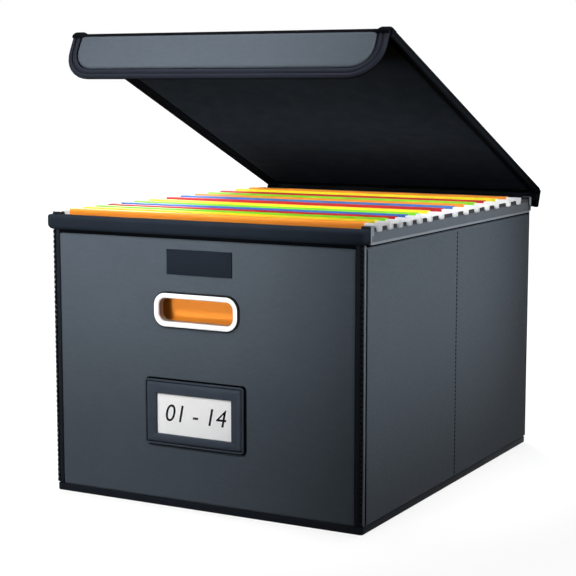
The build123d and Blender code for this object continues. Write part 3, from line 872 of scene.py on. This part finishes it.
FRAME_ROUND = 4.0 * mm      # of the label holder's corners
FRAME_MARGINS = (13.1 * mm, 10.8 * mm, 13.3 * mm)   # beside, under and over its window
FRAME_RISE = 5.0            # height of the profile in label_holder, which is scaled to the holder's own
WINDOW_ROUND = 0.5 * mm
WINDOW_EDGE = ((0.4 * mm, 4.5 * mm), (0.0, 4.0 * mm))   # its steps: how far outside it, and how high
SLIT_HEIGHTS = (1.2 * mm, 2.2 * mm)     # between them lies the middle of the card's slit


def label_holder():
    """Padded leatherette frame: a black foot and flank that paint its shadow, a thin sewn edge, a groove in
    painted shade and a raised cushion round the window.
    """
    low, high = box_of("label_frame")
    wall = box_of("front_panel")[0].y
    card_front = wall - box_of("label_card")[0].y
    proud = wall - low.y
    leather, dark = 0, 1
    bm = bmesh.new()
    # Each step in from the edge in mm, its height and its finish.
    # Steps in the dark finish are painted: the foot and flank paint the holder's shadow, the groove paints
    # its shade.
    profile = ((0.0, 0.0, dark), (0.0, 0.6, dark), (0.25, 0.9, dark), (1.0, 1.0, dark), (1.15, 1.05, dark),
               (1.1, 2.3, dark), (1.1, 3.1, dark), (1.15, 3.8, leather), (1.45, 4.35, leather),
               (1.95, 4.5, leather), (2.45, 4.3, leather), (2.75, 3.8, leather), (3.0, 3.45, dark),
               (3.3, 3.5, dark), (3.6, 4.0, leather), (4.3, 4.55, leather), (5.6, 4.9, leather),
               (7.4, 5.0, leather), (9.6, 4.8, leather))
    scaled = [(inset * mm, height * proud / FRAME_RISE, finish) for inset, height, finish in profile]
    lofted(bm, (low.x, low.z), (high.x, high.z), (FRAME_ROUND, FRAME_ROUND), scaled, closed=(True, False))
    outer = [edge for edge in bm.edges if edge.is_boundary]
    side, under, over = FRAME_MARGINS
    window_low = (low.x + side, low.z + under)
    window_high = (high.x - side, high.z - over)
    loops = []
    for grow, height in (*WINDOW_EDGE, (0.0, card_front + 0.1 * mm)):
        grown_low = (window_low[0] - grow, window_low[1] - grow)
        grown_high = (window_high[0] + grow, window_high[1] + grow)
        loops.append(ring(bm, grown_low, grown_high, (WINDOW_ROUND, WINDOW_ROUND), height))
    for first, second in zip([outer] + loops, loops):
        bmesh.ops.bridge_loops(bm, edges=first + second)
    open_card_slit(bm, high.z)
    place = axes(*FRONT) @ Matrix.Translation((0, 0, -wall))
    finishes = [FRAME_LEATHER, PAINTED_SHADE]
    finish_piece("label_holder", bm, "box", finishes, ["label_frame"], place)


def open_card_slit(bm, top):
    """Opens the holder's top edge where the card slides out."""
    lowest, highest = SLIT_HEIGHTS
    upper = []
    for face in bm.faces:
        middle = face.calc_center_median()
        if middle.y > top - 1.5 * mm and lowest < middle.z < highest and face.normal.y > 0.9:
            upper.append(face)
    longest = max(upper, key=lambda face: face.calc_area())
    bmesh.ops.delete(bm, geom=[longest], context="FACES_ONLY")


label_holder()
keep_node("label_card", PAPER)


NUMBER_SIZE = 22 * mm
NUMBER_SLANT = 0.2
NUMBER_HEIGHT = 29.2 * mm   # of the numbers' middle above the holder's lower edge
INK_DEPTH = 0.02 * mm


def card_numbers():
    """Plain numbers printed on the card."""
    card_low = box_of("label_card")[0]
    holder_low, holder_high = box_of("label_frame")
    text = bpy.data.curves.new("card_numbers", "FONT")
    text.body = "01 - 14"
    text.size = NUMBER_SIZE
    text.shear = NUMBER_SLANT
    text.align_x = "CENTER"
    text.align_y = "CENTER"
    text.extrude = INK_DEPTH
    made = bpy.data.objects.new("card_numbers_curve", text)
    bpy.context.scene.collection.objects.link(made)
    bpy.context.view_layer.update()
    evaluated = made.evaluated_get(bpy.context.evaluated_depsgraph_get())
    mesh = bpy.data.meshes.new_from_object(evaluated)
    bpy.data.objects.remove(made)
    bm = bmesh.new()
    bm.from_mesh(mesh)
    bpy.data.meshes.remove(mesh)
    middle = ((holder_low.x + holder_high.x) / 2, card_low.y - INK_DEPTH, holder_low.z + NUMBER_HEIGHT)
    place = axes(*FRONT, middle)
    finish_piece("card_numbers", bm, "label_card", [INK], place=place, recalc=False)


card_numbers()


PATCH_EDGE = 0.3 * mm


def front_patch():
    """Plain patch under the front band."""
    bm = block(*box_of("front_patch"))
    rounded(bm, sharp_edges(bm), PATCH_EDGE, 2)
    finish_piece("front_tab_patch", bm, "box", [BAND], ["front_patch"])


front_patch()


# ---------------------------------------------------------------- lid
LID_ROLL = (4.0 * mm, 1.0 * mm)     # how the lid's top skin rolls off: over what width, and how deep
TOP_INSET = 2.0 * mm        # of that skin at the sides, under the binding
TOP_SHORT = 0.4 * mm        # of it at the rear
FELT_ROLL = (1.2 * mm, 0.5 * mm)
FELT_GAP = 0.3 * mm         # between the felt and the hems at its sides and rear
FELT_FRONT_GAP = 0.2 * mm
FRONT_HEM_WIDTH = 1.8 * mm  # of the hem turned in along the lid's front edge
HEM_BELOW = 0.3 * mm        # how far the cross hems lie below the lining, and the rounding of their edges


def lid_top():
    """Leatherette over the lid's top."""
    low, high = box_of("lid_cover", lid_opened)
    across = (low.x + TOP_INSET, high.x - TOP_INSET)
    bm = padded_panel(across, (low.y, high.y - TOP_SHORT), high.z - low.z, (LID_ROLL,) * 4)
    place = lid_opened @ Matrix.Translation((0, 0, high.z))
    finish_piece("lid_top_skin", bm, "lid", [LID_LEATHER, TRIM], ["lid_cover"], place)


HEM_WIDTH = 8.0 * mm        # of the lid's binding turned in under the board
SPINE_SQUARE = 19.4 * mm    # height of the lid's rear skirt where it is as wide as the lid
SPINE_BEND = 5.0 * mm       # radius of the binding's turn from the lid's top down the skirt
HEM_THINNING = 4.4 * mm     # of the leg below that turn, over which the hem thins out to clear the rim
BINDING_STEPS = 60          # along the lid's side
BEND_STEPS = 6              # round the turn
SPINE_EDGE = 0.9 * mm


def binding_outline(out, top, low, inner, under):
    """Section of the lid's side binding, with two rolls outside and a hem turned in under the lid.

    It is given the lip's outer face, the lid's top, the lip's lower edge and inner face, and the
    lining's underside."""
    rolls = ((-5.5, 0.0), (-4.6, 0.5), (-2.4, 0.7), (-0.7, 0.1), (0.2, -1.4), (0.1, -2.8), (-0.5, -3.8),
             (0.15, -4.8), (0.2, -6.3))
    lip = ((out - 0.3 * mm, low + 0.5 * mm), (out - 1.2 * mm, low), (inner + 0.3 * mm, low + 0.3 * mm),
           (inner - 0.2 * mm, low + 1.2 * mm))
    hem = ((inner - 0.9 * mm, under - 0.9 * mm), (inner - 2.4 * mm, under - 0.35 * mm),
           (inner - HEM_WIDTH + 0.6 * mm, under - 0.3 * mm), (inner - HEM_WIDTH, under + 0.2 * mm),
           (inner - HEM_WIDTH, under + 1.4 * mm), (inner - 1.0 * mm, under + 1.8 * mm))
    inside = ((inner - 1.0 * mm, top - 1.2 * mm), (out - 5.5 * mm, top - 1.2 * mm))
    return [(out + x * mm, top + z * mm) for x, z in rolls] + [*lip, *hem, *inside]


def drawn_on(bm, face):
    """Extrudes an end face and gives the new end."""
    made = bmesh.ops.extrude_face_region(bm, geom=[face])
    return new_parts(made, bmesh.types.BMFace)[0]


def lid_binding():
    """Padded binding of the lid's right side, from its front edge to the foot of its rear skirt."""
    lip_low, lip_high = box_of("lid_right_lip", lid_opened)
    skirt_low, skirt_high = box_of("lid_rear_skirt", lid_opened)
    top = box_of("lid_cover", lid_opened)[1].z
    under = box_of("lid_lining", lid_opened)[0].z
    inner = lip_low.x
    outline = binding_outline(lip_high.x, top, lip_low.z, inner, under)
    front, rear = lip_low.y, skirt_high.y
    bm = bmesh.new()
    face = sheet_of(bm, [(x, front, z) for x, z in outline])
    step = (rear - SPINE_BEND - front) / BINDING_STEPS
    for _ in range(BINDING_STEPS):
        face = drawn_on(bm, face)
        bmesh.ops.translate(bm, vec=(0, step, 0), verts=face.verts)
    turn = Matrix.Rotation(-math.pi / 2 / BEND_STEPS, 3, "X")
    for _ in range(BEND_STEPS):
        face = drawn_on(bm, face)
        bmesh.ops.rotate(bm, verts=face.verts, cent=(0, rear - SPINE_BEND, top - SPINE_BEND), matrix=turn)
    for drop in (HEM_THINNING, SPINE_SQUARE - SPINE_BEND - HEM_THINNING):
        face = drawn_on(bm, face)
        bmesh.ops.translate(bm, vec=(0, 0, -drop), verts=face.verts)
        for vertex in face.verts:
            if vertex.co.x < inner - 0.3 * mm:
                vertex.co.y = max(vertex.co.y, skirt_low.y + 0.1 * mm)
    hem = 1
    for face in bm.faces:
        if face.calc_center_median().x < inner - 1.2 * mm:
            face.material_index = hem
    return bm


def lid_sides():
    """The binding on the lid's right side and its mirror image on the left."""
    right = lid_binding()
    finish_piece("lid_right_binding", right, "lid", [EDGE, HEM], ["lid_right_lip"], lid_opened)
    left = lid_binding()
    bmesh.ops.scale(left, vec=(-1, 1, 1), verts=left.verts)
    finish_piece("lid_left_binding", left, "lid", [EDGE, HEM], ["lid_left_lip"], lid_opened)


def lid_felt():
    """Felt laid on the lid's underside, inside its binding."""
    low, high = box_of("lid_lining", lid_opened)
    edge = HEM_WIDTH + FELT_GAP
    u = (low.x + edge, high.x - edge)
    v = (-high.y + edge, -low.y - FRONT_HEM_WIDTH - FELT_FRONT_GAP)
    bm = padded_panel(u, v, high.z - low.z, (FELT_ROLL,) * 4)
    place = lid_opened @ axes(*UNDER, (0, 0, low.z))
    piece = finish_piece("lid_felt_lining", bm, "lid", [FELT, FELT], ["lid_lining"], place)


lid_top()
lid_sides()
lid_felt()
keep_node("lid_board", CORE)


def lid_cross_hems():
    """Binding turned in under the lid along its rear edge and along its front edge."""
    low, high = box_of("lid_lining", lid_opened)
    side = high.x - HEM_WIDTH
    strips = bmesh.new()
    for start, end in ((high.y - HEM_WIDTH, high.y), (low.y, low.y + FRONT_HEM_WIDTH)):
        strip = block((-side, start, low.z - HEM_BELOW), (side, end, high.z))
        rounded(strip, sharp_edges(strip), HEM_BELOW, 2)
        put_into(strips, strip)
    finish_piece("lid_cross_hems", strips, "lid", [HEM], place=lid_opened)


lid_cross_hems()
softened_copy("lid_spine", "lid_rear_skirt", "lid", EDGE, SPINE_EDGE, 3)
keep_node("hinge_strip", EDGE)


# ---------------------------------------------------------------- front flap
FLAP_ROUND = 29.8 * mm      # of the flap's lower corners
FLAP_KICK = 4.0 * mm        # by which the soft flap's free edge turns outwards
FOLD = 7.0 * mm             # radius of the bend from the lid's top into the flap
FLAP_PROUD = 1.2 * mm       # of the flap's skin and its padded binding
FLAP_CUT = 3.0 * mm         # by which the flap ends below the lid's top, under the strip over the fold
FLAP_SPARE = 16 * mm        # of its form above that cut, so that the binding runs straight into it
STRIP_PAST = 0.4 * mm       # by which the strip over the fold reaches past the flap on each side
STRIP_THICK = 0.3 * mm      # of it above the fold
STRIP_SUNK = 0.4 * mm       # of its underside below the fold
STRIP_END_ROLL = (2.5 * mm, 1.4 * mm)
TAB_LENGTH = 11.5 * mm      # of its thick ends, where the flap's binding ends in it
TAB_SWELL = 1.7 * mm        # by which they are thicker
TAB_RISE = 3.8 * mm         # over which they get thicker


def front_flap():
    """Flap: a leatherette panel, and a padded binding of two rolls round its three free edges, with painted
    shade in its grooves and along its outer edge.
    """
    low, high = box_of("front_flap", flap_opened)
    face_y = box_of("flap_binding", flap_opened)[1].y
    deep = high.y - face_y
    cut = high.z - FLAP_CUT
    bm = bmesh.new()
    skin, trim, groove, lining = 0, 1, 2, 3
    # Each step in from the edge in mm, its height and its finish.
    # Steps in the groove finish are painted shade.
    profile = ((2.6, -deep / mm, lining), (0.6, -deep / mm + 0.05, groove), (0.0, -deep / mm + 0.7, groove),
               (0.0, -0.9, groove), (0.2, -0.1, trim), (0.8, 0.65, trim), (1.8, 1.1, trim), (3.0, 1.2, trim),
               (4.0, 0.85, trim), (4.7, 0.2, groove), (5.1, 0.45, trim), (5.8, 0.95, trim),
               (6.8, 1.15, trim), (8.0, 1.05, trim), (9.0, 0.6, trim), (9.5, -0.2, groove),
               (9.9, -0.6, groove), (10.3, -0.4, groove), (10.5, 0.1, skin), (10.8, 0.6, skin),
               (11.4, 0.95, skin), (12.6, 1.1, skin), (17.0, 1.2, skin))
    scaled = [(inset * mm, height * mm, finish) for inset, height, finish in profile]
    lofted(bm, (low.x, low.z), (high.x, cut + FLAP_SPARE), (FLAP_ROUND, 1.0 * mm), scaled)
    whole = bm.verts[:] + bm.edges[:] + bm.faces[:]
    bmesh.ops.bisect_plane(bm, geom=whole, plane_co=(0, cut, 0), plane_no=(0, 1, 0), clear_outer=True)
    open_edges = [edge for edge in bm.edges if edge.is_boundary]
    made = bmesh.ops.contextual_create(bm, geom=open_edges)
    for face in made["faces"]:
        face.material_index = groove
    bend_low = high.z - FOLD
    steps = 5
    for step in range(steps):
        height = bend_low + (cut - bend_low) * step / steps
        whole = bm.verts[:] + bm.edges[:] + bm.faces[:]
        bmesh.ops.bisect_plane(bm, geom=whole, plane_co=(0, height, 0), plane_no=(0, 1, 0))
    for vertex in bm.verts:
        rise = max(vertex.co.y - bend_low, 0.0)
        hang = max(bend_low - vertex.co.y, 0.0) / (bend_low - low.z)
        vertex.co.z += FLAP_KICK * hang ** 2 - FOLD + math.sqrt(FOLD ** 2 - rise ** 2)
    place = flap_opened @ axes(*FRONT) @ Matrix.Translation((0, 0, -face_y))
    finishes = [LID_LEATHER, TRIM, PAINTED_SHADE, FELT]
    stands_for = ["front_flap", "flap_binding"]
    piece = finish_piece("front_flap_skin", bm, "flap", finishes, stands_for, place)


def along_fold(run, height, centre):
    """Point over the bend from lid to flap. A run below 0 is on the lid's top, the rest on the bend."""
    if run < 0:
        return centre + Vector((0, -run, FOLD + height))
    angle = run / FOLD
    return centre + Vector((0, -math.sin(angle), math.cos(angle))) * (FOLD + height)


def fold_skin():
    """Strip of binding over the fold between lid and flap, thick where the flap's binding ends in it."""
    high = box_of("front_flap", flap_opened)[1]
    face_y = box_of("flap_binding", flap_opened)[1].y
    centre = Vector((0, face_y - FLAP_PROUD + FOLD, high.z - FOLD))
    last = math.radians(80) * FOLD
    runs = [-8.0 * mm, -6.5 * mm, -4.0 * mm, 0.0] + [last * step / 8 for step in range(1, 9)]
    end = high.x + STRIP_PAST
    tab = end - TAB_LENGTH
    across = [tab * step / 4 for step in range(4)]
    across += [tab - 1.2 * mm, tab, tab + 1.2 * mm, tab + 2.6 * mm, tab + 5.0 * mm, end - 3.0 * mm,
               end - 1.5 * mm, end - 0.6 * mm, end - 0.2 * mm, end]
    columns = [-x for x in reversed(across[1:])] + across
    bm = bmesh.new()
    bmesh.ops.create_grid(bm, x_segments=len(columns) - 1, y_segments=len(runs) - 1, size=1)
    for vertex in bm.verts:
        x = columns[round((vertex.co.x + 1) / 2 * (len(columns) - 1))]
        run = runs[round((vertex.co.y + 1) / 2 * (len(runs) - 1))]
        vertex.co = Vector((x, run, 0))
    made = bmesh.ops.extrude_face_region(bm, geom=bm.faces[:], use_keep_orig=True)
    under = set(new_parts(made, bmesh.types.BMVert))
    for vertex in bm.verts:
        x, run = vertex.co.x, vertex.co.y
        share = min(max((abs(x) - tab + 1.2 * mm) / TAB_RISE, 0.0), 1.0)
        swell = TAB_SWELL * share * share * (3 - 2 * share)
        height = STRIP_THICK + swell - roll_off(end - abs(x), *STRIP_END_ROLL)
        height -= roll_off(run - runs[0], 2.0 * mm, 0.25 * mm + 0.8 * swell)
        height -= roll_off(last - run, 1.6 * mm, 0.25 * mm + 0.6 * swell)
        point = along_fold(run, -STRIP_SUNK if vertex in under else height, centre)
        vertex.co = point + Vector((x, 0, 0))
    piece = finish_piece("lid_fold_skin", bm, None, [HEM], place=lid_opened, sharp=50)
    finish = lid_opened @ along_fold(last, 0.0, centre)
    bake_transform(piece)


front_flap()
fold_skin()


# ---------------------------------------------------------------- folders
# Colours of the folders, from the front to the rear.
COLOURS = ("orange", "yellow", "green", "red", "blue", "green", "yellow", "red", "blue", "orange",
           "green", "red", "yellow", "orange")
for number, colour in enumerate(COLOURS, start=1):
    keep_node(f"folder_{number:02d}_sheet", FOLDER_CARDS[colour])
    keep_node(f"folder_{number:02d}_hangers", STEEL)


# ---------------------------------------------------------------- camera, lights, floor
CAMERA_PLACE = (0.7028, -1.3236, 0.3741)
CAMERA_TURN = (82.465, 0.0, 28.644)     # degrees about X, Y and Z
CAMERA_LENS = 96.785
SENSOR_WIDTH = 36
FAR = 50                    # how far the camera sees
WORLD_LEVEL = 0.05          # of the light that the world gives off
FLOOR_TONE = 0.20           # of the floor as it is seen, which shows the shadow
FLOOR_BOUNCE = 0.05         # of the floor for the light that it throws back
FLOOR_SIZE = 6.0            # half the floor's width
FLOOR_GLOW = (0.80, 1.10)   # lift to white as it is seen, under the box and far from it
GLOW_RISE = (0.30, 0.62)    # distances from the middle between which the lift grows
# Lamps: name, place, target, width and height, watts, spread in degrees.
LAMPS = (
    ("key", (-0.294, -1.228, 0.880), (-0.167, -0.269, 0.148), (0.5, 0.5), 0.65, 20.2),
    ("right_side", (0.601, -0.078, 0.602), (0.178, -0.102, 0.380), (0.5, 0.5), 0.96, 28.6),
    ("front", (-0.197, -1.058, 0.200), (-0.094, -0.009, 0.387), (0.5, 0.5), 0.79, 19.6),
    ("folders", (0.01, -1.0, 0.510), (0.01, -0.17, 0.310), (0.36, 0.07), 0.10, 5.5),
    ("lining", (0.0, -1.0, 0.285), (0.0, -0.17, 0.310), (0.36, 0.05), 0.05, 6.0),
    ("top", (0.05, 0.0, 1.3), (0.0, 0.0, 0.26), (0.5, 0.5), 2.0, 40.0),
    ("rear_left", (-0.9, 1.1, 0.9), (-0.05, 0.1, 0.2), (0.6, 0.6), 5.0, 60.0),
)


def place_camera():
    """Camera in front and to the right, higher than the rim and lower than the open lid's top."""
    data = bpy.data.cameras.new("camera")
    data.lens = CAMERA_LENS
    data.sensor_width = SENSOR_WIDTH
    data.clip_end = FAR
    camera = bpy.data.objects.new("camera", data)
    camera.location = CAMERA_PLACE
    camera.rotation_euler = [math.radians(angle) for angle in CAMERA_TURN]
    bpy.context.scene.collection.objects.link(camera)
    bpy.context.scene.camera = camera


def area_light(name, place, target, size, watts, spread):
    """Flat lamp turned to its target."""
    data = bpy.data.lights.new(name, "AREA")
    data.shape = "RECTANGLE"
    data.size, data.size_y = size
    data.energy = watts
    data.spread = math.radians(spread)
    light = bpy.data.objects.new(name, data)
    light.location = place
    light.rotation_euler = (Vector(target) - Vector(place)).to_track_quat("-Z", "Y").to_euler()
    bpy.context.scene.collection.objects.link(light)


def seen_directly(nodes):
    """1 where the eye, a reflection or a clear view sees a surface, 0 for the light it gives off."""
    kinds = ("Is Camera Ray", "Is Glossy Ray", "Is Transmission Ray")
    camera, glossy, through = [nodes.node("ShaderNodeLightPath", output=kind) for kind in kinds]
    return (camera + glossy + through).between(0.0, 1.0)


def white_surroundings():
    """World that is seen as white and gives off little light."""
    world = bpy.data.worlds.new("studio")
    nodes = Nodes(world)
    seen = seen_directly(nodes)
    plain = nodes.node("ShaderNodeBackground", {}, {"Color": (1, 1, 1, 1), "Strength": 1.0})
    given = nodes.node("ShaderNodeBackground", {}, {"Color": (1, 1, 1, 1), "Strength": WORLD_LEVEL})
    both = nodes.node("ShaderNodeMixShader", {}, {0: seen, 1: given, 2: plain})
    nodes.node("ShaderNodeOutputWorld", {}, {"Surface": both})
    bpy.context.scene.world = world


def pale_floor():
    """Floor that is seen as white with the box's soft shadow, and throws back little light."""
    bm = bmesh.new()
    bmesh.ops.create_grid(bm, x_segments=1, y_segments=1, size=FLOOR_SIZE)
    mesh = bpy.data.meshes.new("floor")
    bm.to_mesh(mesh)
    bm.free()
    floor = bpy.data.objects.new("floor", mesh)
    bpy.context.scene.collection.objects.link(floor)
    finish = Finish("floor_white")
    seen = seen_directly(finish)
    shade = finish.node("ShaderNodeBsdfDiffuse", {}, {"Color": (FLOOR_TONE,) * 3 + (1,)})
    away = finish.node("ShaderNodeVectorMath", {"operation": "LENGTH"}, {0: finish.place()}, "Value")
    level = FLOOR_GLOW[0] + (FLOOR_GLOW[1] - FLOOR_GLOW[0]) * away.between(*GLOW_RISE)
    glow = finish.node("ShaderNodeEmission", {}, {"Color": (1, 1, 1, 1), "Strength": level})
    lifted = finish.node("ShaderNodeAddShader", {}, {0: shade, 1: glow})
    bounce = finish.node("ShaderNodeBsdfDiffuse", {}, {"Color": (FLOOR_BOUNCE,) * 3 + (1,)})
    both = finish.node("ShaderNodeMixShader", {}, {0: seen, 1: bounce, 2: lifted})
    finish.node("ShaderNodeOutputMaterial", {}, {"Surface": both})
    mesh.materials.append(finish.owner)


place_camera()
for lamp in LAMPS:
    area_light(*lamp)
white_surroundings()
pale_floor()

scene = bpy.context.scene
scene.view_settings.view_transform = "Standard"
